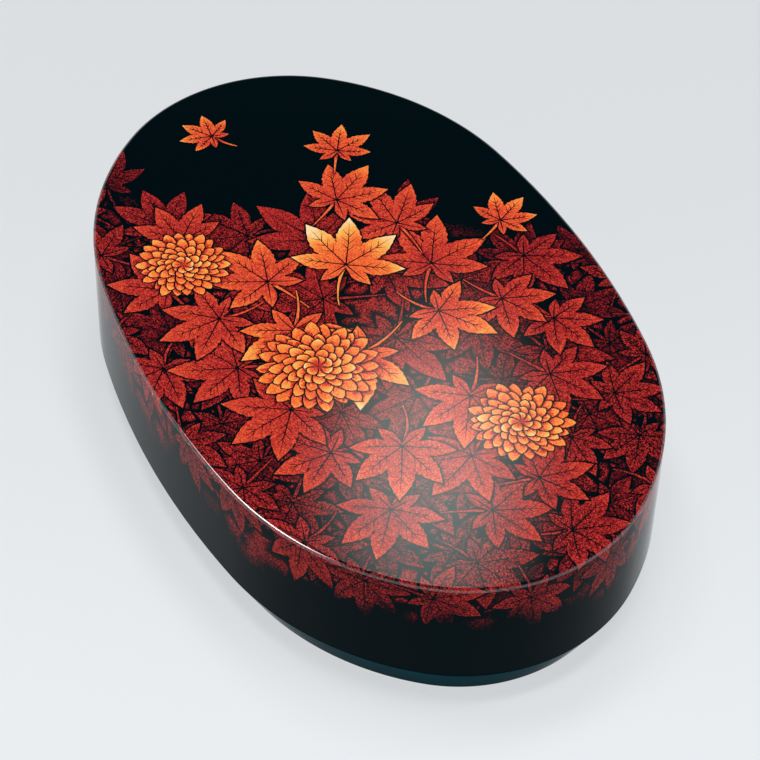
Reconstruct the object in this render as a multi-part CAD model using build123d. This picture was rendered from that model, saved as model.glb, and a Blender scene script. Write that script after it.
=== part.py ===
"""Oval lacquered tea ceremony box: a deep cover over a low bevelled base, with a lift-out tray.

Millimetres. +Z is up, +X runs along the box, and the origin is the middle of the foot's
underside. Every wall, board and coat is an inset of one oval plan, so the pieces nest by
construction: inset 0 is the outer face of the cover.

    cover   bent hoop, top board on it, hidden pegs, sloping fillet, black coat outside
    base    foot ring, plinth ring, bottom board, bent hoop, hidden pegs, fillet, black coat
    tray    floor board, bent hoop, hidden pegs, fillet, lip that hangs on the base's mouth
"""

from build123d import *

import math
import os

# ---- overall -------------------------------------------------------------------------
length = 288.0
width = 182.0
height = 65.5
seam_height = 18.0  # where the cover lands on the base
bevel_run = 9.0  # how far the base draws in from the seam to the table

# Shape of the plan, as factors that hold at any length and width.
end_bluntness = 0.781  # end radius over half the width
side_flatness = 1.587  # side radius over that of an oval with only two radii
shoulder_ease = 1.493  # shoulder radius over the least that joins end and side

# ---- cover ---------------------------------------------------------------------------
outer_coat = 0.9  # black lacquer with its ground
top_arris = 0.5
lid_wall = 3.2
lid_board_thickness = 5.2
lid_cove = 2.0  # leg of the sloping fillet in the corner under the board
lid_peg_count = 10
lid_peg_length = 10.0

# ---- base ----------------------------------------------------------------------------
fit_gap = 0.35  # between the cover's hoop and the base's coat
body_coat = 0.45
ledge_coat = 0.6
seam_arris = 0.35
body_wall = 3.6
foot_height = 7.6
foot_width = 7.0
board_edge_land = 2.0  # how far the bottom board stays inside the foot's outer edge
board_thickness = 4.9
base_cove = 2.0
base_peg_count = 8
base_peg_length = 7.0
notch_radius = 16.0  # finger notches in the mouth
notch_depth = 7.0

# ---- tray ----------------------------------------------------------------------------
tray_headroom = 1.1  # between the tray's lip and the cover's board
tray_gap = 0.7  # around the tray's wall
tray_wall = 2.4
tray_drop = 19.8  # from the mouth of the base down to the tray's underside
tray_floor_thickness = 2.6
tray_cove = 1.6
tray_peg_count = 8
tray_peg_length = 6.0
lip_thickness = 2.1
lip_edge_gap = 0.7  # between the lip's edge and the cover's hoop
lip_arris = 0.5

# ---- joinery -------------------------------------------------------------------------
peg_side = 1.1  # the pegs are split, so they are square
peg_fit = 0.03
board_fit = 0.05
scarf_length = 20.0  # lap of a hoop's two ends
glue_line = 0.12

# ---- derived -------------------------------------------------------------------------
half_length = length / 2
half_width = width / 2

lid_board_top = height - outer_coat
lid_ceiling = lid_board_top - lid_board_thickness
lid_bore = outer_coat + lid_wall
lid_mid_wall = outer_coat + lid_wall / 2
lid_peg_foot = lid_ceiling + lid_board_thickness / 2 - lid_peg_length

lip_top = lid_ceiling - tray_headroom
body_rim = lip_top - lip_thickness
body_face = lid_bore + fit_gap
body_hoop_face = body_face + body_coat
body_bore = body_hoop_face + body_wall
ledge_height = seam_height - ledge_coat
board_top = foot_height + board_thickness
foot_bore = bevel_run + foot_width
board_edge = bevel_run + board_edge_land
base_peg_inset = (board_edge + foot_bore) / 2
base_peg_foot = foot_height + board_thickness / 2 - base_peg_length
notch_centre = body_rim + notch_radius - notch_depth

tray_face = body_bore + tray_gap
tray_bore = tray_face + tray_wall
tray_bottom = body_rim - tray_drop
tray_floor_top = tray_bottom + tray_floor_thickness
tray_mid_wall = tray_face + tray_wall / 2
tray_peg_foot = tray_bottom + tray_floor_thickness / 2
lip_face = lid_bore + lip_edge_gap


# ---- the oval plan -------------------------------------------------------------------
def quarter_arcs():
    """Radius and centre of the end, shoulder and side arcs in the first quarter."""
    end = end_bluntness * half_width
    end_x = half_length - end
    two_radius_side = (end_x**2 + half_width**2 - end**2) / (2 * (half_width - end))
    side = side_flatness * two_radius_side
    side_y = half_width - side
    apart = math.hypot(end_x, side_y)
    shoulder = shoulder_ease * (side + end - apart) / 2
    # The shoulder's centre is set off both other centres by the differences of the radii.
    from_side = side - shoulder
    from_end = shoulder - end
    along = (from_side**2 - from_end**2 + apart**2) / (2 * apart)
    off = math.sqrt(from_side**2 - along**2)
    unit_x = end_x / apart
    unit_y = -side_y / apart
    shoulder_x = along * unit_x - off * unit_y
    shoulder_y = side_y + along * unit_y + off * unit_x
    return (end, end_x), (shoulder, shoulder_x, shoulder_y), (side, side_y)


def plan_arcs(inset):
    """The eight arcs of the plan drawn in by inset: centre, radius, start and sweep."""
    (end, end_x), (shoulder, sx, sy), (side, side_y) = quarter_arcs()
    end_turn = math.degrees(math.atan2(-sy, end_x - sx))
    side_turn = math.degrees(math.atan2(sy - side_y, sx))
    bend = side_turn - end_turn
    flat = 2 * (90 - side_turn)
    return [
        ((end_x, 0), end - inset, -end_turn, 2 * end_turn),
        ((sx, sy), shoulder - inset, end_turn, bend),
        ((0, side_y), side - inset, side_turn, flat),
        ((-sx, sy), shoulder - inset, 180 - side_turn, bend),
        ((-end_x, 0), end - inset, 180 - end_turn, 2 * end_turn),
        ((-sx, -sy), shoulder - inset, 180 + end_turn, bend),
        ((0, -side_y), side - inset, 180 + side_turn, flat),
        ((sx, -sy), shoulder - inset, -side_turn, bend),
    ]


def oval(inset, z):
    """Face of the plan, drawn in by inset, at height z."""
    return Pos(0, 0, z) * make_face([CenterArc(*arc) for arc in plan_arcs(inset)])


def along_plan(inset, share):
    """Place at a share of the way round the plan, with its X turned outwards."""
    arcs = plan_arcs(inset)
    left = share * sum(radius * sweep for _, radius, _, sweep in arcs)
    for (x, y), radius, start, sweep in arcs:
        if left <= radius * sweep:
            break
        left -= radius * sweep
    return Pos(x, y) * Rot(0, 0, start + left / radius) * Pos(radius, 0)


# ---- forms on the plan ---------------------------------------------------------------
def slab(inset, low, high):
    """Upright solid on the plan drawn in by inset."""
    return extrude(oval(inset, low), high - low)


def ring(outer, inner, low, high):
    """Upright wall between two insets of the plan."""
    return slab(outer, low, high) - slab(inner, low, high)


def cut_foot(block, leg):
    """Chamfer a block's lowest edge."""
    return chamfer(block.edges().group_by(Axis.Z)[0], leg)


def cut_head(block, leg):
    """Chamfer a block's highest edge."""
    return chamfer(block.edges().group_by(Axis.Z)[-1], leg)


def bevelled(coat, low, high):
    """The base's drawn-in outer form, less a coat measured square to the bevel."""
    slope = bevel_run / seam_height
    surface = coat * math.hypot(1, slope)
    lower = oval(surface + slope * (seam_height - low), low)
    upper = oval(surface + slope * (seam_height - high), high)
    return loft([lower, upper], ruled=True)


def pegs(inset, count, low, peg_length, spare=0.0):
    """A row of upright square pegs round the plan, or with spare their sockets."""
    side = peg_side + 2 * spare
    peg = Box(side, side, peg_length, align=(Align.CENTER, Align.CENTER, Align.MIN))
    places = [along_plan(inset, (i + 0.5) / count) for i in range(count)]
    return [Pos(0, 0, low) * place * peg for place in places]


def scarf(outer, inner, low, high, side):
    """Glue line of a bent hoop's lapped ends, in the middle of the +Y or -Y side."""
    middle = side * (half_width - (outer + inner) / 2)
    slant = side * math.degrees(math.atan((inner - outer) / scarf_length))
    cut = Box(2 * scarf_length, glue_line, high - low)
    return Pos(0, middle, (low + high) / 2) * Rot(0, 0, slant) * cut


def notches():
    """Finger notches across the middle of both long sides of the base's mouth."""
    return Pos(0, 0, notch_centre) * Rot(90, 0, 0) * Cylinder(notch_radius, width)


# ---- cover ---------------------------------------------------------------------------
def lid_pegs(spare=0.0):
    return pegs(lid_mid_wall, lid_peg_count, lid_peg_foot, lid_peg_length, spare)


def make_lid_top_board():
    return slab(outer_coat, lid_ceiling, lid_board_top) - lid_pegs(peg_fit)


def make_lid_hoop():
    hoop = ring(outer_coat, lid_bore, seam_height, lid_ceiling)
    hoop -= scarf(outer_coat, lid_bore, seam_height, lid_ceiling, -1)
    return hoop - lid_pegs(peg_fit)


def make_lid_pegs():
    return Compound(lid_pegs())


def make_lid_cove():
    corner = slab(lid_bore, lid_ceiling - lid_cove, lid_ceiling)
    return corner - cut_head(slab(lid_bore, seam_height, lid_ceiling), lid_cove)


def make_lid_coat():
    block = cut_foot(slab(0, seam_height, height), seam_arris)
    return cut_head(block, top_arris) - slab(outer_coat, seam_height, lid_board_top)


# ---- base ----------------------------------------------------------------------------
def base_pegs(spare=0.0):
    return pegs(base_peg_inset, base_peg_count, base_peg_foot, base_peg_length, spare)


def make_foot_ring():
    foot = bevelled(0, 0, foot_height) - slab(foot_bore, 0, foot_height)
    return foot - base_pegs(peg_fit)


def make_plinth_ring():
    block = bevelled(outer_coat, foot_height, ledge_height)
    block -= slab(board_edge, foot_height, board_top)
    return block - slab(body_hoop_face, board_top, ledge_height)


def make_bottom_board():
    return slab(board_edge + board_fit, foot_height, board_top) - base_pegs(peg_fit)


def make_base_pegs():
    return Compound(base_pegs())


def make_body_hoop():
    hoop = ring(body_hoop_face, body_bore, board_top, body_rim)
    hoop -= scarf(body_hoop_face, body_bore, board_top, body_rim, 1)
    return hoop - notches()


def make_base_cove():
    corner = slab(body_bore, board_top, board_top + base_cove)
    return corner - cut_foot(slab(body_bore, board_top, body_rim), base_cove)


def make_base_coat():
    plinth = cut_head(bevelled(0, foot_height, seam_height), seam_arris)
    coat = plinth + slab(body_face, ledge_height, body_rim)
    coat -= bevelled(outer_coat, foot_height, ledge_height)
    return coat - slab(body_hoop_face, ledge_height, body_rim) - notches()


# ---- tray ----------------------------------------------------------------------------
def tray_pegs(spare=0.0):
    return pegs(tray_mid_wall, tray_peg_count, tray_peg_foot, tray_peg_length, spare)


def make_tray_floor():
    return slab(tray_face, tray_bottom, tray_floor_top) - tray_pegs(peg_fit)


def make_tray_hoop():
    hoop = ring(tray_face, tray_bore, tray_floor_top, body_rim)
    hoop -= scarf(tray_face, tray_bore, tray_floor_top, body_rim, -1)
    return hoop - tray_pegs(peg_fit)


def make_tray_pegs():
    return Compound(tray_pegs())


def make_tray_cove():
    corner = slab(tray_bore, tray_floor_top, tray_floor_top + tray_cove)
    return corner - cut_foot(slab(tray_bore, tray_floor_top, body_rim), tray_cove)


def make_tray_lip():
    lip = cut_head(slab(lip_face, body_rim, lip_top), lip_arris)
    return lip - slab(tray_bore, body_rim, lip_top)


SUB_PARTS = {
    "lid_top_board": make_lid_top_board,
    "lid_hoop": make_lid_hoop,
    "lid_pegs": make_lid_pegs,
    "lid_cove": make_lid_cove,
    "lid_coat": make_lid_coat,
    "foot_ring": make_foot_ring,
    "plinth_ring": make_plinth_ring,
    "bottom_board": make_bottom_board,
    "base_pegs": make_base_pegs,
    "body_hoop": make_body_hoop,
    "base_cove": make_base_cove,
    "base_coat": make_base_coat,
    "tray_floor": make_tray_floor,
    "tray_hoop": make_tray_hoop,
    "tray_pegs": make_tray_pegs,
    "tray_cove": make_tray_cove,
    "tray_lip": make_tray_lip,
}

os.makedirs("parts", exist_ok=True)
for node, make in SUB_PARTS.items():
    export_step(make(), f"parts/{node}.step")
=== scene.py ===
"""Oval tea ceremony box in black lacquer: skins, inner finishes and a plain stage.

Metres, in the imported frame: +Z up, +X along the box. The cover carries a drawn autumn design
of maple leaves and chrysanthemums. It is drawn flat, on the top and past its outline, and what
lies past the outline is folded down over the rim onto the wall.
"""

import math
import random

import bpy
from bpy.props import FloatProperty, FloatVectorProperty, IntProperty, PointerProperty
from mathutils import Matrix, Vector
from mathutils.geometry import delaunay_2d_cdt


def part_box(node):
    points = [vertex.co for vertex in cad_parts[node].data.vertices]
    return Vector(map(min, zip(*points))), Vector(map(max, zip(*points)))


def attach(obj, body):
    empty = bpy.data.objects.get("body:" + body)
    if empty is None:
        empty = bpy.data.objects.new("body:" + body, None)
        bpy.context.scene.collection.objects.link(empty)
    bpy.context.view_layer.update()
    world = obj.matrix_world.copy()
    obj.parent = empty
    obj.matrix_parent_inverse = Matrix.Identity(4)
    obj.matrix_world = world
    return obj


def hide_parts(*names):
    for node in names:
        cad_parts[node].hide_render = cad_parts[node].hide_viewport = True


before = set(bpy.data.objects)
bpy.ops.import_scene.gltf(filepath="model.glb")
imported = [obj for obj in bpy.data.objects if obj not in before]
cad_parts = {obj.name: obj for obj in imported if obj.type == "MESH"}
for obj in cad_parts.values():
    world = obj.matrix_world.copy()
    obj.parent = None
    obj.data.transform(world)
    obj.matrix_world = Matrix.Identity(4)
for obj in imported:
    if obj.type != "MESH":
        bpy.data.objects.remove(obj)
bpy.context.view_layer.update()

bl_info = {
    "name": "Oval Tea Box",
    "version": (1, 0, 0),
    "blender": (4, 5, 0),
    "location": "3D View > Sidebar > Tea Box",
    "description": "Lacquer skins, inner finishes and a plain stage for an oval tea box",
    "category": "Object",
}

COAT_LOW, COAT_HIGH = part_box("lid_coat")
HOOP_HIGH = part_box("body_hoop")[1]
FOOT_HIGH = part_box("foot_ring")[1]


# ---- sizes and colours ---------------------------------------------------------------
def size_of(label, note, default):
    return FloatProperty(name=label, description=note, default=default, unit="LENGTH", precision=5)


def share_of(label, note, default):
    return FloatProperty(name=label, description=note, default=default)


def count_of(label, note, default):
    return IntProperty(name=label, description=note, default=default, min=1)


def colour_of(label, note, default):
    return FloatVectorProperty(
        name=label, description=note, default=default, subtype="COLOR", size=3, min=0, max=1
    )


class PlanSizes(bpy.types.PropertyGroup):
    """The oval that every wall and coat follows."""

    half_length: size_of("Half length", "From the middle to an end", COAT_HIGH.x)
    half_width: size_of("Half width", "From the middle to a side", COAT_HIGH.y)
    end_bluntness: share_of("End bluntness", "End radius over half the width", 0.781)
    side_flatness: share_of("Side flatness", "Side radius over a two-radius oval's", 1.587)
    shoulder_ease: share_of("Shoulder ease", "Shoulder radius over the least that joins", 1.493)
    columns: count_of("Columns", "Mesh columns round the plan", 240)


class CoverSizes(bpy.types.PropertyGroup):
    """The cover's lacquer skin."""

    top: size_of("Top", "Height of the flat top", COAT_HIGH.z)
    seam: size_of("Seam", "Height where the cover lands on the base", COAT_LOW.z)
    coat: size_of("Coat", "Thickness of the lacquer and its ground", 0.0009)
    rim_round: size_of("Rim round", "Radius of the top's edge", 0.0014)
    arris: size_of("Arris", "Ease of the lower edge", 0.00035)


class BaseSizes(bpy.types.PropertyGroup):
    """The base's lacquer skin."""

    coat: size_of("Coat", "Thickness on the plinth", 0.0009)
    wall_coat: size_of("Wall coat", "Thickness on the wall and the ledge", 0.00045)
    ledge_coat: size_of("Ledge coat", "Thickness on the ledge", 0.0006)
    foot_width: size_of("Foot width", "Width of the ring that it stands on", 0.007)
    under_coat: size_of("Under coat", "Thickness under the bottom board", 0.00015)
    edge_round: size_of("Edge round", "Radius of the foot's and the ledge's edges", 0.0004)
    notch_radius: size_of("Notch radius", "Finger notches in the mouth", 0.016)
    notch_depth: size_of("Notch depth", "How far the notches go down", 0.007)


class DesignSizes(bpy.types.PropertyGroup):
    """The drawn design on the cover."""

    seed: count_of("Seed", "Starts the random placing", 11)
    leaf_reach: size_of("Leaf reach", "Stalk to the tip of the middle lobe", 0.0270)
    bloom_reach: size_of("Bloom reach", "Radius of the largest bloom", 0.0225)
    spacing: share_of("Spacing", "Least distance of two leaves, over their reach", 0.98)
    under_spacing: share_of("Under spacing", "The same for the dark leaves below", 0.95)
    bright: share_of("Bright leaves", "Brightness of the leaves at the bright spot", 0.86)
    dim: share_of("Dim leaves", "Brightness of the leaves at the outline", 0.37)
    haze: share_of("Haze", "Brightness of the powder between the leaves", 0.34)
    cloud: share_of("Cloud", "How much the powder's thickness wanders", 0.16)
    ink: size_of("Ink", "Width of the dark line round a leaf", 0.0008)
    vein: size_of("Vein", "Width of a leaf's veins at their root", 0.0006)
    filling: size_of("Filling", "Pitch of the loose points between the leaves", 0.0036)
    wall_reach: size_of("Wall reach", "How far down the wall a leaf may be centred", 0.008)
    wall_full: size_of("Full to", "How far down the wall the design stays full", 0.012)
    wall_fade: size_of("Gone at", "How far down the wall it has faded to black", 0.029)
    wall_wander: size_of("Wander", "How much the faded edge rises and falls", 0.005)
    grain: size_of("Grain", "Size of the sprinkled powder", 0.00040)


class LacquerColours(bpy.types.PropertyGroup):
    """Colours of the finishes."""

    black: colour_of("Black", "Polished black, slightly blue-green", (0.0003, 0.0035, 0.0050))
    # The bevel colour is a painted reflection: the blue-green that polished black would mirror on the
    # drawn-in band, put into its base colour.
    bevel: colour_of("Bevel", "The drawn-in band, deep blue-green", (0.0006, 0.024, 0.033))
    crimson: colour_of("Crimson", "Deepest red of the design", (0.20, 0.007, 0.013))
    vermilion: colour_of("Vermilion", "Main red of the design", (0.58, 0.042, 0.026))
    orange: colour_of("Orange", "Lit parts of the leaves", (0.82, 0.15, 0.030))
    gold: colour_of("Gold", "Blooms and leaf tips", (0.84, 0.40, 0.085))
    cream: colour_of("Cream", "Palest tips", (0.86, 0.64, 0.36))
    inside: colour_of("Inside", "Satin vermilion inside the box", (0.46, 0.040, 0.018))
    bamboo: colour_of("Bamboo", "Split pegs", (0.50, 0.34, 0.20))
    floor: colour_of("Floor", "Pale cool floor", (0.745, 0.77, 0.79))


class StageSizes(bpy.types.PropertyGroup):
    """Camera, floor and lights."""

    lens: FloatProperty(name="Lens", description="Focal length in mm, 36 mm sensor", default=131.6)
    bearing: FloatProperty(
        name="Bearing", description="Camera's side", default=math.radians(-27.65), subtype="ANGLE"
    )
    elevation: FloatProperty(
        name="Elevation", description="Camera's height", default=math.radians(46.08), subtype="ANGLE"
    )
    roll: FloatProperty(
        name="Roll", description="Camera's tilt", default=math.radians(1.94), subtype="ANGLE"
    )
    distance: size_of("Distance", "Camera to the point it looks at", 1.0655)
    aim_x: size_of("Aim along", "Point looked at, along the box", 0.0067)
    aim_y: size_of("Aim across", "Point looked at, across the box", 0.0012)
    aim_z: size_of("Aim height", "Point looked at, above the table", 0.0328)
    floor_span: size_of("Floor span", "Side of the floor", 6.0)


class BoxSettings(bpy.types.PropertyGroup):
    """Everything that can be set."""

    plan: PointerProperty(type=PlanSizes)
    cover: PointerProperty(type=CoverSizes)
    base: PointerProperty(type=BaseSizes)
    design: PointerProperty(type=DesignSizes)
    colours: PointerProperty(type=LacquerColours)
    stage: PointerProperty(type=StageSizes)


# ---- the oval plan -------------------------------------------------------------------
class Plan:
    """An oval of end, shoulder and side arcs, alike in all four quarters."""

    def __init__(self, sizes):
        half_length, half_width = sizes.half_length, sizes.half_width
        end = sizes.end_bluntness * half_width
        end_x = half_length - end
        two_radius_side = (end_x**2 + half_width**2 - end**2) / (2 * (half_width - end))
        side = sizes.side_flatness * two_radius_side
        side_y = half_width - side
        apart = math.hypot(end_x, side_y)
        shoulder = sizes.shoulder_ease * (side + end - apart) / 2
        from_side = side - shoulder
        from_end = shoulder - end
        along = (from_side**2 - from_end**2 + apart**2) / (2 * apart)
        off = math.sqrt(from_side**2 - along**2)
        unit_x, unit_y = end_x / apart, -side_y / apart
        shoulder_x = along * unit_x - off * unit_y
        shoulder_y = side_y + along * unit_y + off * unit_x
        end_turn = math.atan2(-shoulder_y, end_x - shoulder_x)
        side_turn = math.atan2(shoulder_y - side_y, shoulder_x)
        self.arcs = (
            (end_turn, end_x, 0.0, end),
            (side_turn, shoulder_x, shoulder_y, shoulder),
            (math.tau, 0.0, side_y, side),
        )
        self.turns = [math.tau * i / sizes.columns for i in range(sizes.columns)]

    def place(self, turn, out=0.0):
        """Point whose outward direction is turn, moved out from the outline."""
        across, up = math.cos(turn), math.sin(turn)
        steep = math.atan2(abs(up), abs(across))
        _, x, y, radius = next(arc for arc in self.arcs if steep <= arc[0])
        radius += out
        return (
            math.copysign(1, across) * x + radius * across,
            math.copysign(1, up) * y + radius * up,
        )

    def outward(self, x, y):
        """How far a point lies outside the outline, and the outward direction there."""
        for last_turn, centre_x, centre_y, radius in self.arcs:
            dx, dy = abs(x) - centre_x, abs(y) - centre_y
            if math.atan2(dy, dx) <= last_turn:
                break
        reach = math.hypot(dx, dy)
        return reach - radius, math.copysign(dx / reach, x), math.copysign(dy / reach, y)


# ---- meshes --------------------------------------------------------------------------
def swept_rings(plan, turns, section_at):
    """Points of a section carried round the plan: one ring for each (inset, height)."""
    sections = [section_at(turn) for turn in turns]
    rings = []
    for row in range(len(sections[0])):
        ring = []
        for turn, section in zip(turns, sections):
            inset, height = section[row]
            ring.append((*plan.place(turn, -inset), height))
        rings.append(ring)
    return rings


def ring_faces(lower, upper):
    """Quads between two rings, given as lists of point numbers."""
    count = len(lower)
    return [
        (lower[i], lower[(i + 1) % count], upper[(i + 1) % count], upper[i])
        for i in range(count)
    ]


def make_piece(name, points, faces, body, material):
    """Mesh object that rides on a body and takes its finish from a slot."""
    mesh = bpy.data.meshes.new(name)
    mesh.from_pydata(points, [], faces)
    mesh.materials.append(material)
    piece = bpy.data.objects.new(name, mesh)
    bpy.context.scene.collection.objects.link(piece)
    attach(piece, body)
    return piece


def rounded(corner, before, after, radius, steps=3):
    """Points that ease the corner of a section between its two neighbours."""
    corner = Vector(corner)
    start = corner + (Vector(before) - corner).normalized() * radius
    end = corner + (Vector(after) - corner).normalized() * radius
    eased = []
    for step in range(steps + 1):
        share = step / steps
        eased.append(tuple(start.lerp(corner, share).lerp(corner.lerp(end, share), share)))
    return eased


# ---- the drawn design ----------------------------------------------------------------
class Shape:
    """Flat outline in the drawing, with how bright it is at its root and its far end."""

    def __init__(self, points, root=(0.0, 0.0), reach=1.0, near=0.0, far=0.0, edge=False):
        before = points[-1:] + points[:-1]
        doubled_area = sum(p[0] * q[1] - q[0] * p[1] for p, q in zip(before, points))
        self.points = points if doubled_area > 0 else points[::-1]  # anticlockwise
        self.root = root
        self.reach = reach
        self.near = near
        self.far = far
        self.edge = edge  # a dark outline, which shades what lies below it

    def heat(self, x, y):
        share = min(1.0, math.hypot(x - self.root[0], y - self.root[1]) / self.reach)
        return self.near + (self.far - self.near) * share**1.5


def smooth(low, high, value):
    """0 below low, 1 above high, eased in between."""
    share = max(0.0, min(1.0, (value - low) / (high - low)))
    return share * share * (3 - 2 * share)


class Lobe:
    """One pointed lobe or petal: a bent axis with a leaf-shaped width."""

    slimness = 0.185
    throat = 0.20  # share of the length where its width would reach nothing

    def __init__(self, root, heading, length, bend):
        self.root = Vector(root)
        self.heading = heading
        self.along = Vector((math.cos(heading), math.sin(heading)))
        self.across = Vector((-self.along.y, self.along.x))
        self.length = length
        self.bend = bend

    def half_width(self, share):
        run = max(0.0, (share - self.throat) / (1 - self.throat))
        return self.slimness * self.length * math.sin(math.pi * min(1.0, run) ** 0.8)

    def at(self, share, off=0.0):
        """Point at a share of the length, and off the axis to its left."""
        sway = self.bend * self.length * share * share + off
        return self.root + self.along * (self.length * share) + self.across * sway


def leaf_outline(lobes, root, notch, extra, shares, tooth):
    """Closed outline of a many-lobed leaf, drawn larger by extra and with saw teeth."""
    points = []
    for number, lobe in enumerate(lobes):
        before = lobes[number - 1]
        points.append(notch_point(before, lobe, root, notch, extra))
        right, left = [], []
        for share in shares:
            half = lobe.half_width(share) + extra
            saw = tooth * lobe.length * (1 - share)
            right.append(lobe.at(share, -half - saw))
            left.append(lobe.at(share, half + saw))
            if saw:
                after = share + 0.03
                dip = lobe.half_width(after) + extra - 0.4 * saw
                right.append(lobe.at(after, -dip))
                left.append(lobe.at(after, dip))
        tip = lobe.at(1.0 + 1.6 * extra / lobe.length)
        points += [*right, tip, *reversed(left)]
    return points


def notch_point(before, lobe, root, notch, extra):
    """Where two neighbouring lobes part: near the stalk on the leaf's open side."""
    half_gap = ((lobe.heading - before.heading) % math.tau) / 2
    if half_gap > math.radians(40):
        notch = OPEN_NOTCH
    depth = notch * (before.length + lobe.length) / 2 + extra
    turn = before.heading + half_gap
    return Vector(root) + Vector((math.cos(turn), math.sin(turn))) * depth


def stroke(start, middle, end, width):
    """Thin tapered stroke through three points."""
    run = (end - start).normalized()
    side = Vector((-run.y, run.x)) * (width / 2)
    return [start - side, middle - side * 0.7, end, middle + side * 0.7, start + side]


def tick(start, end, width):
    """Short stroke that narrows to a point."""
    run = (end - start).normalized()
    side = Vector((-run.y, run.x)) * (width / 2)
    return [start - side, end, start + side]


def curved_stroke(start, middle, end, width, steps=6):
    """Tapered stroke that bends smoothly from start past middle to end."""
    left, right = [], []
    for step in range(steps + 1):
        share = step / steps
        point = start.lerp(middle, share).lerp(middle.lerp(end, share), share)
        run = (middle - start).lerp(end - middle, share).normalized()
        side = Vector((-run.y, run.x)) * (width / 2) * (1 - 0.75 * share)
        left.append(point + side)
        right.append(point - side)
    return right + left[::-1]


# Direction from the middle lobe, in degrees, and length over the middle lobe's.
LEAF_LOBES = ((-134, 0.50), (-88, 0.78), (-43, 0.95), (0, 1.0), (43, 0.95), (88, 0.78), (134, 0.50))
# Where the outlines and the side veins have their points, over a lobe's length.
EDGE_SHARES, BLADE_SHARES, PLAIN_SHARES = (0.52, 0.70, 0.88), (0.50, 0.62, 0.74, 0.86), (0.55, 0.72, 0.88)
SIDE_VEINS = (0.32, 0.46, 0.60)
EDGE_NOTCH, BLADE_NOTCH, OPEN_NOTCH = 0.47, 0.46, 0.10  # how far out lobes part, over their length
SAW_TOOTH = 0.036  # over a lobe's length
EDGE_STALK, STALK = 3.6, 1.7  # width of the stalk with its dark edge and without, over the ink's


def maple_leaf(rng, root, heading, reach, tone, design, fine=True):
    """Shapes of one maple leaf: stalk, dark edge, blade and veins, lowest first."""
    root = Vector(root)
    lobes = []
    for turn, share in LEAF_LOBES:
        aim = heading + math.radians(turn + rng.uniform(-3.5, 3.5))
        length = reach * share * rng.uniform(0.93, 1.06)
        lobes.append(Lobe(root, aim, length, rng.uniform(-0.07, 0.07)))
    back = Vector((math.cos(heading), math.sin(heading))) * -reach
    bend = root + back * 0.4 + Vector((back.y, -back.x)) * rng.uniform(-0.14, 0.14)
    edge = leaf_outline(lobes, root, EDGE_NOTCH, design.ink, EDGE_SHARES, 0)
    shares, tooth = (BLADE_SHARES, SAW_TOOTH) if fine else (PLAIN_SHARES, 0)
    blade = leaf_outline(lobes, root, BLADE_NOTCH, 0.0, shares, tooth)
    golden = 0.55 * max(0.0, tone - 0.62)  # the brighter the leaf, the more golden its tips
    tip = tone + 0.07 + golden + rng.uniform(-0.04, 0.06)
    dark_stalk = curved_stroke(root, bend, root + back * 0.83, EDGE_STALK * design.ink)
    stalk = curved_stroke(root, bend, root + back * 0.80, STALK * design.ink)
    shapes = [
        Shape(dark_stalk, edge=True),
        Shape(stalk, root, reach, tone, tone),
        Shape(edge, edge=True),
        Shape(blade, root, reach, tone * 0.80, tip),
    ]
    dark = tone * 0.08
    for lobe in lobes:
        vein = stroke(lobe.at(0.0), lobe.at(0.5), lobe.at(0.94), design.vein)
        shapes.append(Shape(vein, near=dark, far=dark))
        for share in SIDE_VEINS if fine and lobe.length > 0.6 * reach else ():
            for side in (-1, 1):
                half = lobe.half_width(max(share + 0.10, 0.5))
                start, end = lobe.at(share + 0.02 * side), lobe.at(share + 0.15, side * half * 0.74)
                shapes.append(Shape(tick(start, end, design.vein * 0.75), near=dark, far=dark))
    return shapes


class Petal(Lobe):
    """Round-ended petal."""

    def half_width(self, share):
        return self.slimness * self.length * math.sin(math.pi * min(1.0, share) ** 1.9) ** 0.6


PETAL_ROWS = ((22, 1.0), (19, 0.80), (15, 0.60), (11, 0.41), (7, 0.24))  # how many, and their reach
PETAL_SHARES = (0.30, 0.52, 0.70, 0.84, 0.94)


def chrysanthemum(rng, centre, reach, tone, design):
    """Shapes of one open bloom, outer petals first."""
    shapes = []
    ink = design.ink
    for row, (count, share) in enumerate(PETAL_ROWS):
        start = rng.uniform(0, math.tau)
        for number in range(count):
            aim = start + math.tau * (number + rng.uniform(-0.12, 0.12)) / count
            length = reach * share * rng.uniform(0.93, 1.05)
            petal = Petal(centre, aim, length, rng.uniform(-0.05, 0.05))
            petal.slimness = 0.92 * math.pi / count
            lit = tone + 0.03 * row
            for extra, near, far in ((ink * 0.75, 0.0, 0.0), (0.0, tone * 0.66, lit)):
                right = [petal.at(s, -petal.half_width(s) - extra) for s in PETAL_SHARES]
                left = [petal.at(s, petal.half_width(s) + extra) for s in reversed(PETAL_SHARES)]
                tip = petal.at(1.0 + extra / length)
                outline = [petal.at(0.02), *right, tip, *left]
                shapes.append(Shape(outline, centre, reach * share, near, far, edge=far == 0))
            line = stroke(petal.at(0.34), petal.at(0.55), petal.at(0.8), 0.4 * ink)
            shapes.append(Shape(line, near=tone * 0.45, far=tone * 0.45))
    return shapes


# Centres of the blooms along and across the box, over half its length and width, and
# their size over the largest. The drifting leaves have a heading in degrees as well.
BLOOMS = ((0.13, -0.34, 1.0), (-0.36, -0.60, 0.78), (0.52, 0.26, 0.86))
DRIFTING = ((-0.60, 0.30, 0.62, 150), (-0.80, -0.16, 0.54, 215), (-0.16, 0.74, 0.60, 120))
BRIGHT_SPOT = (-0.05, -0.08)  # the leaves are brightest here, and darken away from it
FIELD = (1.2, 1.3)  # where leaves are tried, past the outline, over half its length and width
DRIFTING_TONE, BLOOM_TONE = 0.76, 0.86
UNDER_TRIES, UPPER_TRIES = 2500, 4000


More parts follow.
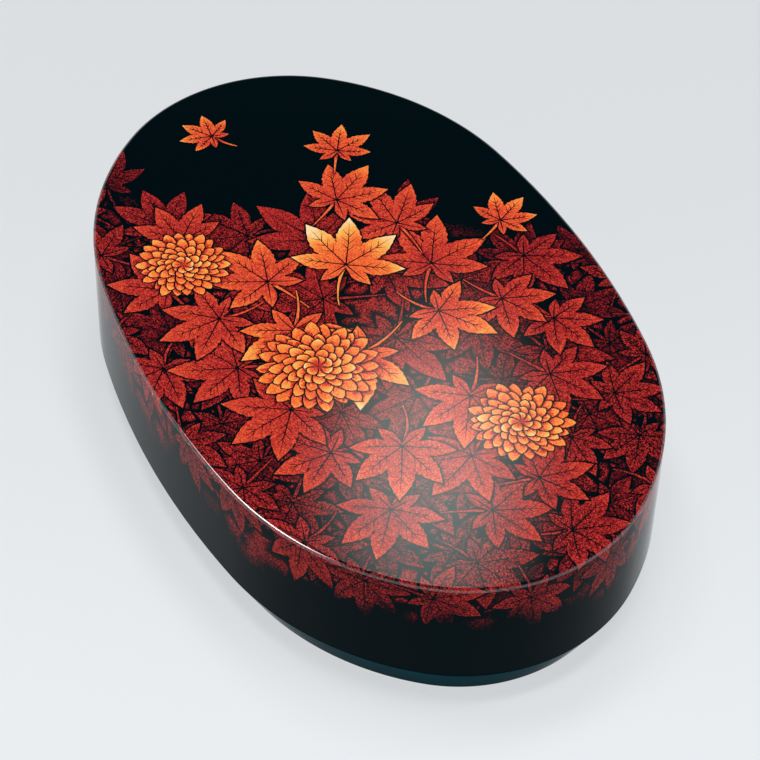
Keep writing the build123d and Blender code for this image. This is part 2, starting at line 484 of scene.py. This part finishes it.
def bed(sizes, x, y):
    """How thickly the design lies at a place: 0 on the bare black end, 1 in the bed."""
    along, across = x / sizes.half_length, y / sizes.half_width
    return smooth(-0.52, -0.12, along - 0.36 * across + 0.06 * math.sin(6 * across))


class Drawing:
    """The autumn design: where its leaves and blooms lie, and their shapes."""

    def __init__(self, plan, sizes, design):
        self.plan = plan
        self.sizes = sizes
        self.design = design
        self.rng = random.Random(design.seed)
        self.bright = self.spot(*BRIGHT_SPOT)
        self.blooms = [(self.spot(u, v), design.bloom_reach * s) for u, v, s in BLOOMS]

    def spot(self, along, across):
        return Vector((along * self.sizes.half_length, across * self.sizes.half_width))

    def scatter(self, spacing, tries, bright, dim, wall_reach):
        """Leaves strewn over the bed with a least spacing, each (place, reach, tone)."""
        rng, placed = self.rng, []
        for _ in range(tries):
            place = self.spot(rng.uniform(-FIELD[0], FIELD[0]), rng.uniform(-FIELD[1], FIELD[1]))
            off = place - self.bright
            far = math.hypot(off.x / self.sizes.half_length, off.y / self.sizes.half_width)
            reach = self.design.leaf_reach * (1.06 - 0.24 * min(1.0, far)) * rng.uniform(0.88, 1.08)
            tone = bright - (bright - dim) * min(1.0, far) ** 1.1 + rng.uniform(-0.06, 0.06)
            outside = self.plan.outward(*place)[0] > wall_reach
            if outside or rng.random() > bed(self.sizes, *place) ** 1.5:
                continue
            close = any((place - p).length < spacing * (reach + r) / 2 for p, r, _ in placed)
            in_bloom = any((place - p).length < 0.75 * r for p, r in self.blooms)
            if not (close or in_bloom):
                placed.append((place, reach, tone))
        return placed

    def shapes(self):
        """All shapes of the drawing, lowest first."""
        rng, design = self.rng, self.design
        under_bright, under_dim = design.bright * 0.52, design.dim * 0.6
        under = self.scatter(design.under_spacing, UNDER_TRIES, under_bright, under_dim, 0.0)
        lit = (design.bright, design.dim)
        upper = self.scatter(design.spacing, UPPER_TRIES, *lit, design.wall_reach)
        made = []
        for leaves, fine in ((under, False), (upper, True)):
            for place, reach, tone in sorted(leaves, key=lambda leaf: leaf[2]):
                away = math.atan2(place.y - self.bright.y, place.x - self.bright.x)
                heading = away + rng.uniform(-1.2, 1.2)
                made += maple_leaf(rng, place, heading, reach, tone, design, fine)
        for along, across, size, heading in DRIFTING:
            reach, turn = size * design.leaf_reach, math.radians(heading)
            made += maple_leaf(rng, self.spot(along, across), turn, reach, DRIFTING_TONE, design)
        for centre, reach in self.blooms:
            made += chrysanthemum(rng, centre, reach, BLOOM_TONE, design)
        return made


RIM_ROWS, WALL_ROWS = 3, 6
SHADED = 0.55  # brightness just under a dark edge, over its own
WALL, TOP, RIM = 0, 1, 2  # the cover's zones, each with its own material


class CoverSkin:
    """The drawing laid over the cover, and the black coat behind it."""

    def __init__(self, settings):
        self.plan = Plan(settings.plan)
        self.sizes = settings.plan
        self.cover = settings.cover
        self.design = settings.design
        self.quarter = self.cover.rim_round * math.pi / 2
        wall = self.cover.top - self.cover.rim_round - self.cover.seam - self.cover.arris
        self.last_run = self.quarter + wall

    def laid(self, x, y):
        """Place and outward direction on the cover of a point in the drawing."""
        out, across, up = self.plan.outward(x, y)
        radius = self.cover.rim_round
        run = out + radius
        if run <= 0:
            return Vector((x, y, self.cover.top)), Vector((0, 0, 1))
        lean = min(run / radius, math.pi / 2)
        inset = radius * (1 - math.sin(lean))
        drop = radius * (1 - math.cos(lean)) + max(0.0, run - self.quarter)
        direction = Vector((across * math.sin(lean), up * math.sin(lean), math.cos(lean)))
        place = Vector((x - (out + inset) * across, y - (out + inset) * up, self.cover.top - drop))
        return place, direction

    def drawing(self):
        """Triangles of the drawing: points, faces and the shape on top of each face."""
        radius = self.cover.rim_round
        wall = self.last_run - self.quarter
        rows = [self.quarter * i / RIM_ROWS for i in range(RIM_ROWS)]
        rows += [self.quarter + wall * i / WALL_ROWS for i in range(WALL_ROWS)]
        shapes = [Shape([self.plan.place(turn, self.last_run - radius) for turn in self.plan.turns])]
        shapes += Drawing(self.plan, self.sizes, self.design).shapes()
        points, faces, edges = [], [], []
        for shape in shapes:
            faces.append(list(range(len(points), len(points) + len(shape.points))))
            points += [Vector(p) for p in shape.points]
        for run in rows:
            first = len(points)
            points += [Vector(self.plan.place(turn, run - radius)) for turn in self.plan.turns]
            count = len(self.plan.turns)
            edges += [(first + i, first + (i + 1) % count) for i in range(count)]
        points += self.filling()
        laid = delaunay_2d_cdt(points, edges, faces, 1, 1e-7, True)
        flat, _, triangles, from_points, _, from_faces = laid
        boundary = {}
        for number, sources in enumerate(from_points):
            for source in sources:
                if source < len(self.plan.turns):
                    boundary[source] = number
        rim = [boundary[i] for i in range(len(self.plan.turns))]
        tops = [max(sources, default=0) for sources in from_faces]
        return flat, triangles, shapes, tops, rim

    def filling(self):
        """Loose points over the top, so that shades can change between the lines."""
        pitch = self.design.filling
        rows = int(self.sizes.half_width / pitch) + 1
        columns = int(self.sizes.half_length / pitch) + 1
        spots = []
        for row in range(-rows, rows + 1):
            for column in range(-columns, columns + 1):
                x = (column + 0.5 * (row % 2)) * pitch
                y = row * pitch
                if self.plan.outward(x, y)[0] < -2 * self.cover.rim_round:
                    spots.append(Vector((x, y)))
        return spots

    def brightness(self, shape, shaded, x, y):
        """How bright the drawing is at a point of a shape, faded down the wall."""
        wave = math.sin(83 * x - 47 * y) + 0.6 * math.sin(151 * x + 190 * y)  # two crossing ripples
        out = self.plan.outward(x, y)[0] + self.design.wall_wander * wave
        fade = 1 - smooth(self.design.wall_full, self.design.wall_fade, out)
        if shape is None:
            return 0.0 if shaded else self.design.haze * bed(self.sizes, x, y) * fade * fade
        return shape.heat(x, y) * fade * (SHADED if shaded else 1.0)

    def build(self, materials):
        """The skin, finished in a material for each of its zones."""
        flat, triangles, shapes, tops, rim = self.drawing()
        placed = [self.laid(*point) for point in flat]
        points = [place for place, _ in placed]
        directions = [direction for _, direction in placed]
        edge_over = [0] * len(flat)  # the highest dark edge that meets each point
        for triangle, top in zip(triangles, tops):
            if shapes[top].edge:
                for corner in triangle:
                    edge_over[corner] = max(edge_over[corner], top)
        heat, normals, zones = [], [], []
        for triangle, top in zip(triangles, tops):
            shape = shapes[top] if top else None
            for corner in triangle:
                shaded = edge_over[corner] > top
                heat.append(self.brightness(shape, shaded, *flat[corner]))
                normals.append(directions[corner])
            lean = sum((directions[corner] for corner in triangle), Vector()).normalized().z
            zones.append(TOP if lean > 0.999 else RIM if lean > 0.01 else WALL)
        faces = [tuple(triangle) for triangle in triangles]
        self.close_behind(points, faces, rim, heat, normals)
        piece = make_piece("cover_lacquer", points, faces, "cover", materials[WALL])
        mesh = piece.data
        for zone in (TOP, RIM):
            mesh.materials.append(materials[zone])
        zones += [WALL] * (len(faces) - len(zones))
        mesh.polygons.foreach_set("material_index", zones)
        mesh.attributes.new("brightness", "FLOAT", "CORNER").data.foreach_set("value", heat)
        mesh.shade_smooth()
        mesh.normals_split_custom_set(normals)
        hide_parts("lid_coat")
        return piece

    def close_behind(self, points, faces, rim, heat, normals):
        """Lower arris, landing edge and the coat's hidden inner face."""
        cover = self.cover
        inner_top = cover.top - cover.coat
        section = [(cover.arris, cover.seam), (cover.coat, cover.seam), (cover.coat, inner_top)]
        below = rim
        for ring in swept_rings(self.plan, self.plan.turns, lambda turn: section):
            numbers = list(range(len(points), len(points) + len(ring)))
            points += [Vector(p) for p in ring]
            self.add_flat(points, faces, ring_faces(numbers, below), heat, normals)
            below = numbers
        self.add_flat(points, faces, [tuple(reversed(below))], heat, normals)

    def add_flat(self, points, faces, more, heat, normals):
        for face in more:
            a, b, c = (points[i] for i in face[:3])
            direction = (b - a).cross(c - a).normalized()
            faces.append(face)
            heat += [0.0] * len(face)
            normals += [direction] * len(face)


# ---- the base's skin -----------------------------------------------------------------
BEVEL_ENDS = (0.05, 0.95)  # rings that keep the bevel's shading flat between its rounded edges
BEVEL_LEAN = (-0.9, -0.2)  # upright part of the normals that count as the bevel's, which takes the painted reflection


class BaseSkin:
    """Black lacquer over foot, plinth, ledge and wall, in one continuous skin."""

    def __init__(self, settings):
        self.plan = Plan(settings.plan)
        self.sizes = settings.base
        self.seam = settings.cover.seam
        self.slope = (COAT_HIGH.x - FOOT_HIGH.x) / (self.seam - FOOT_HIGH.z)
        self.foot_edge = self.slope * self.seam
        self.wall_back = COAT_HIGH.x - HOOP_HIGH.x
        self.mouth = HOOP_HIGH.z
        self.wall_face = self.wall_back - self.sizes.wall_coat

    def turns(self):
        """The plan's columns, with finer ones across the finger notches."""
        radius, depth = self.sizes.notch_radius, self.sizes.notch_depth
        side_radius = self.plan.arcs[-1][3] - self.wall_face
        half = math.sqrt(radius**2 - (radius - depth) ** 2)
        lean = math.asin(half / side_radius)
        fine = [lean * (i / 12 - 1) for i in range(25)]
        coarse = [t for t in self.plan.turns if abs(math.cos(t)) > math.sin(lean * 1.05)]
        middles = (math.pi / 2, 3 * math.pi / 2)
        return sorted(coarse + [middle + turn for middle in middles for turn in fine])

    def rim_height(self, turn):
        """Height of the mouth, lower in the finger notches."""
        radius = self.sizes.notch_radius
        x, y = self.plan.place(turn, -self.wall_face)
        if abs(x) >= radius or abs(x) > abs(y):
            return self.mouth
        centre = self.mouth + radius - self.sizes.notch_depth
        return min(self.mouth, centre - math.sqrt(radius**2 - x * x))

    def section(self, turn):
        sizes = self.sizes
        foot_bore = self.foot_edge + sizes.foot_width
        under = FOOT_HIGH.z - sizes.under_coat
        wall_face = self.wall_face
        rim = self.rim_height(turn)
        board_line = (foot_bore, under)
        inner_foot = (foot_bore, 0.0)
        outer_foot = (self.foot_edge, 0.0)
        seam_edge = Vector((0.0, self.seam))
        ledge_root = (wall_face, self.seam)
        ledge_back = self.seam - sizes.ledge_coat
        skin = sizes.coat * math.hypot(1, self.slope)
        points = [board_line]
        points += rounded(inner_foot, board_line, outer_foot, sizes.edge_round)
        points += rounded(outer_foot, inner_foot, seam_edge, sizes.edge_round)
        points += [tuple(Vector(outer_foot).lerp(seam_edge, share)) for share in BEVEL_ENDS]
        points += rounded(seam_edge, outer_foot, ledge_root, sizes.edge_round)
        points += [ledge_root, (wall_face, rim), (self.wall_back, rim)]
        points += [(self.wall_back, ledge_back), (skin + self.slope * sizes.ledge_coat, ledge_back)]
        points += [(skin + self.slope * (self.seam - FOOT_HIGH.z), FOOT_HIGH.z)]
        return points

    def build(self, material, bevel_painted_reflection_material):
        points, faces = [], []
        below = None
        for ring in swept_rings(self.plan, self.turns(), self.section):
            numbers = list(range(len(points), len(points) + len(ring)))
            points += ring
            if below is None:
                faces.append(tuple(reversed(numbers)))
            else:
                faces += ring_faces(below, numbers)
            below = numbers
        faces.append(tuple(below))
        piece = make_piece("base_lacquer", points, faces, "base", material)
        mesh = piece.data
        # The second slot is the bevel's painted reflection: a blue-green base colour in place of what the
        # black would mirror there.
        mesh.materials.append(bevel_painted_reflection_material)
        for face in mesh.polygons:
            leans = BEVEL_LEAN[0] < face.normal.z < BEVEL_LEAN[1]
            face.material_index = int(leans and face.center.z < self.seam)
        mesh.shade_smooth()
        mesh.set_sharp_from_angle(angle=math.radians(25))
        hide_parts("base_coat", "foot_ring")
        return piece


# ---- finishes ------------------------------------------------------------------------
def new_finish(name):
    """Empty material, its node tree and its shader."""
    material = bpy.data.materials.new(name)
    material.use_nodes = True
    return material, material.node_tree, material.node_tree.nodes["Principled BSDF"]


def add_node(tree, kind, inputs=None, **settings):
    """Shader node with its settings, and its sockets set to plain values or linked to others."""
    node = tree.nodes.new("ShaderNode" + kind)
    for name, value in settings.items():
        setattr(node, name, value)
    for name, value in (inputs or {}).items():
        if isinstance(value, bpy.types.NodeSocket):
            tree.links.new(value, node.inputs[name])
        else:
            node.inputs[name].default_value = value
    return node


def math_step(tree, operation, first, second, clamp=False):
    """A sum, product or other step between two sockets or plain numbers."""
    inputs = {0: first, 1: second}
    return add_node(tree, "Math", inputs, operation=operation, use_clamp=clamp).outputs["Value"]


def gloss(shader, roughness, index, tint):
    """Clear polished surface over the colour."""
    shader.inputs["Roughness"].default_value = roughness
    shader.inputs["IOR"].default_value = index
    shader.inputs["Specular Tint"].default_value = (*tint, 1)


def speckle(tree, grain):
    """Random value for each grain of sprinkled powder."""
    place = add_node(tree, "TexCoord").outputs["Object"]
    cells = add_node(tree, "TexVoronoi", {"Vector": place, "Scale": 1 / grain})
    return add_node(tree, "SeparateColor", {"Color": cells.outputs["Color"]}).outputs["Red"]


def soft_noise(tree, scale, detail=2.0, stretch=(1, 1, 1)):
    """Cloudy value that stays in place on the piece, finer along an axis that is stretched more."""
    place = add_node(tree, "TexCoord").outputs["Object"]
    finer = add_node(tree, "Mapping", {"Vector": place, "Scale": stretch}).outputs["Vector"]
    cloud = add_node(tree, "TexNoise", {"Vector": finer, "Scale": scale, "Detail": detail})
    return cloud.outputs["Fac"]


def colour_ramp(tree, value, stops):
    """Colour that runs through the stops, each (value, colour), as the value rises."""
    ramp = add_node(tree, "ValToRGB", {"Fac": value})
    elements = ramp.color_ramp.elements
    while len(elements) < len(stops):
        elements.new(0.5)
    for element, (position, colour) in zip(elements, stops):
        element.position = position
        element.color = (*colour, 1)
    return ramp.outputs["Color"]


def times(factor, colour):
    """A lighter or darker shade of a colour."""
    return [factor * part for part in colour]


LACQUER_TINT = (0.25, 0.88, 1.0)  # the black coat's mirror image is a cool blue-green
PLAIN_TINT = (1.0, 1.0, 1.0)
POLISHED, SATIN, DRY, CHALKY = 0.06, 0.22, 0.7, 0.9  # roughness
# Index of refraction: the rim mirrors the most, and the bevel over the dark foot hardly at all; the bevel's
# blue-green base colour is a painted reflection in its place.
TOP_INDEX, RIM_INDEX, WALL_INDEX, BEVEL_INDEX, SATIN_INDEX = 1.18, 1.75, 1.10, 1.01, 1.5


def powdered(tree, design):
    """The design's brightness, drifting, and broken into grains of powder where it is dim."""
    level = add_node(tree, "Attribute", attribute_name="brightness").outputs["Fac"]
    drift = math_step(tree, "SUBTRACT", soft_noise(tree, 110, 3), 0.5)
    drift = math_step(tree, "MULTIPLY", drift, 2 * design.cloud)
    drift = math_step(tree, "ADD", drift, 1.0)
    bright = math_step(tree, "MULTIPLY", level, drift)
    spread = math_step(tree, "SUBTRACT", speckle(tree, design.grain), 0.5)
    dimness = math_step(tree, "SUBTRACT", 0.90, bright, clamp=True)
    strength = math_step(tree, "MULTIPLY", dimness, 0.85)
    strength = math_step(tree, "ADD", strength, 0.06)
    present = math_step(tree, "MULTIPLY", bright, 4.0, clamp=True)  # none on bare black
    strength = math_step(tree, "MULTIPLY", strength, present)
    shift = math_step(tree, "MULTIPLY", spread, strength)
    return math_step(tree, "ADD", bright, shift, clamp=True)


def picture_lacquer(name, colours, design, index, tint):
    """The design in coloured lacquer and powder, polished under a clear coat."""
    material, tree, shader = new_finish(name)
    stops = (
        (0.0, colours.black),
        (0.12, colours.black),
        (0.36, colours.crimson),
        (0.64, colours.vermilion),
        (0.80, colours.orange),
        (0.91, colours.gold),
        (1.0, colours.cream),
    )
    tree.links.new(colour_ramp(tree, powdered(tree, design), stops), shader.inputs["Base Color"])
    gloss(shader, POLISHED, index, tint)
    return material


def black_lacquer(name, black, index):
    """Plain polished lacquer in one colour, with a faint depth of tone; for the bevel that colour is a
    painted blue-green reflection.
    """
    material, tree, shader = new_finish(name)
    stops = ((0.0, black), (1.0, times(1.8, black)))
    tree.links.new(colour_ramp(tree, soft_noise(tree, 40), stops), shader.inputs["Base Color"])
    gloss(shader, POLISHED, index, LACQUER_TINT)
    return material


def vermilion_lacquer(colours):
    """Satin vermilion with the soft cloudiness of a brushed coat."""
    material, tree, shader = new_finish("vermilion_lacquer_satin")
    cloud = soft_noise(tree, 28, 4)
    stops = ((0.3, times(0.86, colours.inside)), (0.7, times(1.08, colours.inside)))
    tree.links.new(colour_ramp(tree, cloud, stops), shader.inputs["Base Color"])
    gloss(shader, SATIN, SATIN_INDEX, PLAIN_TINT)
    bump = add_node(tree, "Bump", {"Strength": 0.05, "Distance": 0.0005, "Height": cloud})
    tree.links.new(bump.outputs["Normal"], shader.inputs["Normal"])
    return material


def split_bamboo(colours):
    """Dry split bamboo with fibres along the peg."""
    material, tree, shader = new_finish("split_bamboo")
    fibre = soft_noise(tree, 1, stretch=(3000, 3000, 90))
    stops = ((0.0, times(0.7, colours.bamboo)), (1.0, times(1.15, colours.bamboo)))
    tree.links.new(colour_ramp(tree, fibre, stops), shader.inputs["Base Color"])
    shader.inputs["Roughness"].default_value = DRY
    return material


def dress(nodes, material):
    """Give CAD nodes a better finish."""
    for name in nodes:
        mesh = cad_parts[name].data
        mesh.materials.clear()
        mesh.materials.append(material)


# ---- stage ---------------------------------------------------------------------------
FLOOR_GLOW = 0.70  # share of the floor's own light, which keeps the box's shadow faint
FLOOR_FALL = (0.90, 1.15)  # that light at the far and at the near side of the box
FALL_REACH = 0.25  # how far from the middle of the box it changes


def pale_floor(colours, bearing):
    """Smooth matt board, pale and cool, lit from within, more so towards a bearing."""
    material, tree, shader = new_finish("pale_floor")
    shader.inputs["Base Color"].default_value = (*colours.floor, 1)
    shader.inputs["Roughness"].default_value = CHALKY
    shader.inputs["Specular IOR Level"].default_value = 0.1
    place = add_node(tree, "TexCoord").outputs["Object"]
    towards = (math.cos(bearing), math.sin(bearing), 0)
    nearness = add_node(tree, "VectorMath", {0: place, 1: towards}, operation="DOT_PRODUCT")
    fall = add_node(tree, "MapRange", {"Value": nearness.outputs["Value"]}, interpolation_type="SMOOTHSTEP")
    fall.inputs["From Min"].default_value = -FALL_REACH
    fall.inputs["From Max"].default_value = FALL_REACH
    fall.inputs["To Min"].default_value, fall.inputs["To Max"].default_value = FLOOR_FALL
    glow = {"Color": (*colours.floor, 1), "Strength": fall.outputs["Result"]}
    even = add_node(tree, "Emission", glow)
    rays = add_node(tree, "LightPath").outputs
    seen = math_step(tree, "ADD", rays["Is Camera Ray"], rays["Is Glossy Ray"])
    seen = math_step(tree, "ADD", seen, rays["Is Transmission Ray"], clamp=True)
    share = math_step(tree, "MULTIPLY", seen, FLOOR_GLOW)
    inputs = {"Fac": share, 1: shader.outputs["BSDF"], 2: even.outputs["Emission"]}
    mix = add_node(tree, "MixShader", inputs)
    tree.links.new(mix.outputs["Shader"], tree.nodes["Material Output"].inputs["Surface"])
    return material


def soft_light(name, place):
    """Square softbox that looks at the box, and isn't mirrored in it."""
    lamp = bpy.data.lights.new(name, "AREA")
    lamp.shape = "SQUARE"
    lamp.size = HIGH_LIGHT_SIZE
    lamp.energy = HIGH_LIGHT_POWER
    holder = bpy.data.objects.new(name, lamp)
    bpy.context.scene.collection.objects.link(holder)
    holder.location = place
    holder.rotation_euler = (-Vector(place)).to_track_quat("-Z", "Y").to_euler()
    holder.visible_glossy = False


CARD_CORNERS = 48


def reflected_card(name, place, aim, reach, strength, colour):
    """Oval card that only shows as a soft patch in polished lacquer, fading to its edge."""
    turns = [math.tau * i / CARD_CORNERS for i in range(CARD_CORNERS)]
    mesh = bpy.data.meshes.new(name)
    mesh.from_pydata([(math.cos(t), math.sin(t), 0) for t in turns], [], [tuple(range(CARD_CORNERS))])
    material, tree, shader = new_finish(name)
    local = add_node(tree, "TexCoord").outputs["Object"]
    spread = add_node(tree, "VectorMath", {0: local}, operation="LENGTH").outputs["Value"]
    fading = {"Value": spread, "To Min": strength, "To Max": 0}
    fade = add_node(tree, "MapRange", fading, interpolation_type="SMOOTHERSTEP")
    tree.links.new(fade.outputs["Result"], shader.inputs["Emission Strength"])
    shader.inputs["Base Color"].default_value = (0, 0, 0, 1)
    shader.inputs["Emission Color"].default_value = (*colour, 1)
    mesh.materials.append(material)
    card = bpy.data.objects.new(name, mesh)
    card.location = place
    card.rotation_euler = (Vector(aim) - Vector(place)).to_track_quat("Z", "Y").to_euler()
    card.scale = (*reach, 1)
    card.visible_camera = False
    card.visible_diffuse = False
    card.visible_shadow = False
    bpy.context.scene.collection.objects.link(card)


FLOOR_LEVEL = -0.00005  # just below the foot, so that the two don't share a plane


def make_floor(settings):
    half = settings.stage.floor_span / 2
    corners = [(x * half, y * half, FLOOR_LEVEL) for x, y in ((-1, -1), (1, -1), (1, 1), (-1, 1))]
    mesh = bpy.data.meshes.new("floor")
    mesh.from_pydata(corners, [], [(0, 1, 2, 3)])
    mesh.materials.append(pale_floor(settings.colours, settings.stage.bearing))
    floor = bpy.data.objects.new("floor", mesh)
    bpy.context.scene.collection.objects.link(floor)


# Soft lights round the zenith, so that the box hardly casts a shadow.
HIGH_LIGHTS = {
    "light_front_left": (-0.34, -0.32, 1.9),
    "light_front_right": (0.34, -0.32, 1.9),
    "light_back_left": (-0.34, 0.32, 1.9),
    "light_back_right": (0.34, 0.32, 1.9),
}
HIGH_LIGHT_SIZE, HIGH_LIGHT_POWER = 0.42, 8.6

# Cards for the glow in the top and the line along the rim: place, the point on the cover
# that they look at, half sizes, strength and colour.
GLOW_CARD = ((-0.854, 0.508, 1.253), (0.082, -0.017, 0.0655), (0.150, 0.215), 42, (1.0, 0.58, 0.50))
RIM_CARD = ((-0.15, -0.76, 0.74), (0.09, -0.07, 0.0655), (0.60, 0.34), 28, (1.0, 1.0, 1.0))

# The surroundings are pale below the first height and dark above the second, where 0 is
# straight down and 1 straight up.
SURROUNDINGS = ((0.36, (0.86, 0.90, 0.94)), (0.66, (0.020, 0.026, 0.030)))


def make_lights(scene):
    """Soft lights high over the box, two cards for its reflections, and pale surroundings."""
    for name, place in HIGH_LIGHTS.items():
        soft_light(name, place)
    reflected_card("glow_card", *GLOW_CARD)
    reflected_card("rim_card", *RIM_CARD)
    world = bpy.data.worlds.new("surroundings")
    world.use_nodes = True
    tree = world.node_tree
    direction = add_node(tree, "TexCoord").outputs["Generated"]
    height = add_node(tree, "SeparateXYZ", {"Vector": direction}).outputs["Z"]
    shade = colour_ramp(tree, height, SURROUNDINGS)
    tree.links.new(shade, tree.nodes["Background"].inputs["Color"])
    scene.world = world


def make_camera(scene, stage):
    lens = bpy.data.cameras.new("camera")
    lens.lens = stage.lens
    lens.sensor_width = 36
    lens.clip_start = 0.01
    camera = bpy.data.objects.new("camera", lens)
    scene.collection.objects.link(camera)
    flat = math.cos(stage.elevation)
    back = Vector(
        (flat * math.cos(stage.bearing), flat * math.sin(stage.bearing), math.sin(stage.elevation))
    )
    level_right = Vector((0, 0, 1)).cross(back).normalized()
    level_up = back.cross(level_right)
    right = level_right * math.cos(stage.roll) + level_up * math.sin(stage.roll)
    up = back.cross(right)
    place = Vector((stage.aim_x, stage.aim_y, stage.aim_z)) + back * stage.distance
    turn = Matrix((right, up, back)).transposed().to_4x4()
    camera.matrix_world = Matrix.Translation(place) @ turn
    scene.camera = camera
    scene.view_settings.view_transform = "Standard"


# ---- operators -----------------------------------------------------------------------
class TEABOX_OT_cover_lacquer(bpy.types.Operator):
    """Lay the lacquer skin with its drawn design over the cover"""

    bl_idname = "teabox.cover_lacquer"
    bl_label = "Cover lacquer"

    def execute(self, context):
        settings = context.scene.tea_box
        looks = (settings.colours, settings.design)
        top = picture_lacquer("picture_lacquer_top", *looks, TOP_INDEX, LACQUER_TINT)
        rim = picture_lacquer("picture_lacquer_rim", *looks, RIM_INDEX, PLAIN_TINT)
        wall = picture_lacquer("picture_lacquer_wall", *looks, WALL_INDEX, LACQUER_TINT)
        CoverSkin(settings).build({WALL: wall, TOP: top, RIM: rim})
        return {"FINISHED"}


class TEABOX_OT_base_lacquer(bpy.types.Operator):
    """Lay the black lacquer skin over foot, plinth and wall"""

    bl_idname = "teabox.base_lacquer"
    bl_label = "Base lacquer"

    def execute(self, context):
        settings = context.scene.tea_box
        colours = settings.colours
        material = black_lacquer("black_lacquer_polished", colours.black, WALL_INDEX)
        # The bevel's blue-green colour is a painted reflection, and its index all but stops it mirroring.
        bevel_painted_reflection_material = black_lacquer("black_lacquer_bevel_painted_reflection", colours.bevel, BEVEL_INDEX)
        BaseSkin(settings).build(material, bevel_painted_reflection_material)
        return {"FINISHED"}


class TEABOX_OT_inner_finishes(bpy.types.Operator):
    """Finish the boards, hoops, fillets and the tray in satin vermilion"""

    bl_idname = "teabox.inner_finishes"
    bl_label = "Inner finishes"

    def execute(self, context):
        vermilion = vermilion_lacquer(context.scene.tea_box.colours)
        dress(("lid_top_board", "lid_hoop", "lid_cove"), vermilion)
        dress(("plinth_ring", "bottom_board", "body_hoop", "base_cove"), vermilion)
        dress(("tray_floor", "tray_hoop", "tray_cove", "tray_lip"), vermilion)
        return {"FINISHED"}


class TEABOX_OT_pegs(bpy.types.Operator):
    """Finish the hidden pegs in split bamboo"""

    bl_idname = "teabox.pegs"
    bl_label = "Pegs"

    def execute(self, context):
        bamboo = split_bamboo(context.scene.tea_box.colours)
        dress(("lid_pegs", "base_pegs", "tray_pegs"), bamboo)
        return {"FINISHED"}


class TEABOX_OT_stage(bpy.types.Operator):
    """Set up the floor, the soft lights and the camera"""

    bl_idname = "teabox.stage"
    bl_label = "Stage"

    def execute(self, context):
        settings = context.scene.tea_box
        make_floor(settings)
        make_lights(context.scene)
        make_camera(context.scene, settings.stage)
        return {"FINISHED"}


class TEABOX_PT_panel(bpy.types.Panel):
    """Lists the pieces of the tea box"""

    bl_label = "Tea Box"
    bl_idname = "TEABOX_PT_panel"
    bl_space_type = "VIEW_3D"
    bl_region_type = "UI"
    bl_category = "Tea Box"

    def draw(self, context):
        for operator in OPERATORS:
            self.layout.operator(operator.bl_idname)
        settings = context.scene.tea_box
        for group in (settings.plan, settings.cover, settings.base, settings.design,
                      settings.colours, settings.stage):
            column = self.layout.column()
            for name in group.__annotations__:
                column.prop(group, name)


GROUPS = (PlanSizes, CoverSizes, BaseSizes, DesignSizes, LacquerColours, StageSizes, BoxSettings)
OPERATORS = (
    TEABOX_OT_cover_lacquer,
    TEABOX_OT_base_lacquer,
    TEABOX_OT_inner_finishes,
    TEABOX_OT_pegs,
    TEABOX_OT_stage,
)


def register():
    for part in (*GROUPS, *OPERATORS, TEABOX_PT_panel):
        bpy.utils.register_class(part)
    bpy.types.Scene.tea_box = PointerProperty(type=BoxSettings)


def unregister():
    del bpy.types.Scene.tea_box
    for part in reversed((*GROUPS, *OPERATORS, TEABOX_PT_panel)):
        bpy.utils.unregister_class(part)


def main():
    register()
    bpy.ops.teabox.cover_lacquer()
    bpy.ops.teabox.base_lacquer()
    bpy.ops.teabox.inner_finishes()
    bpy.ops.teabox.pegs()
    bpy.ops.teabox.stage()


if __name__ == "__main__":
    main()
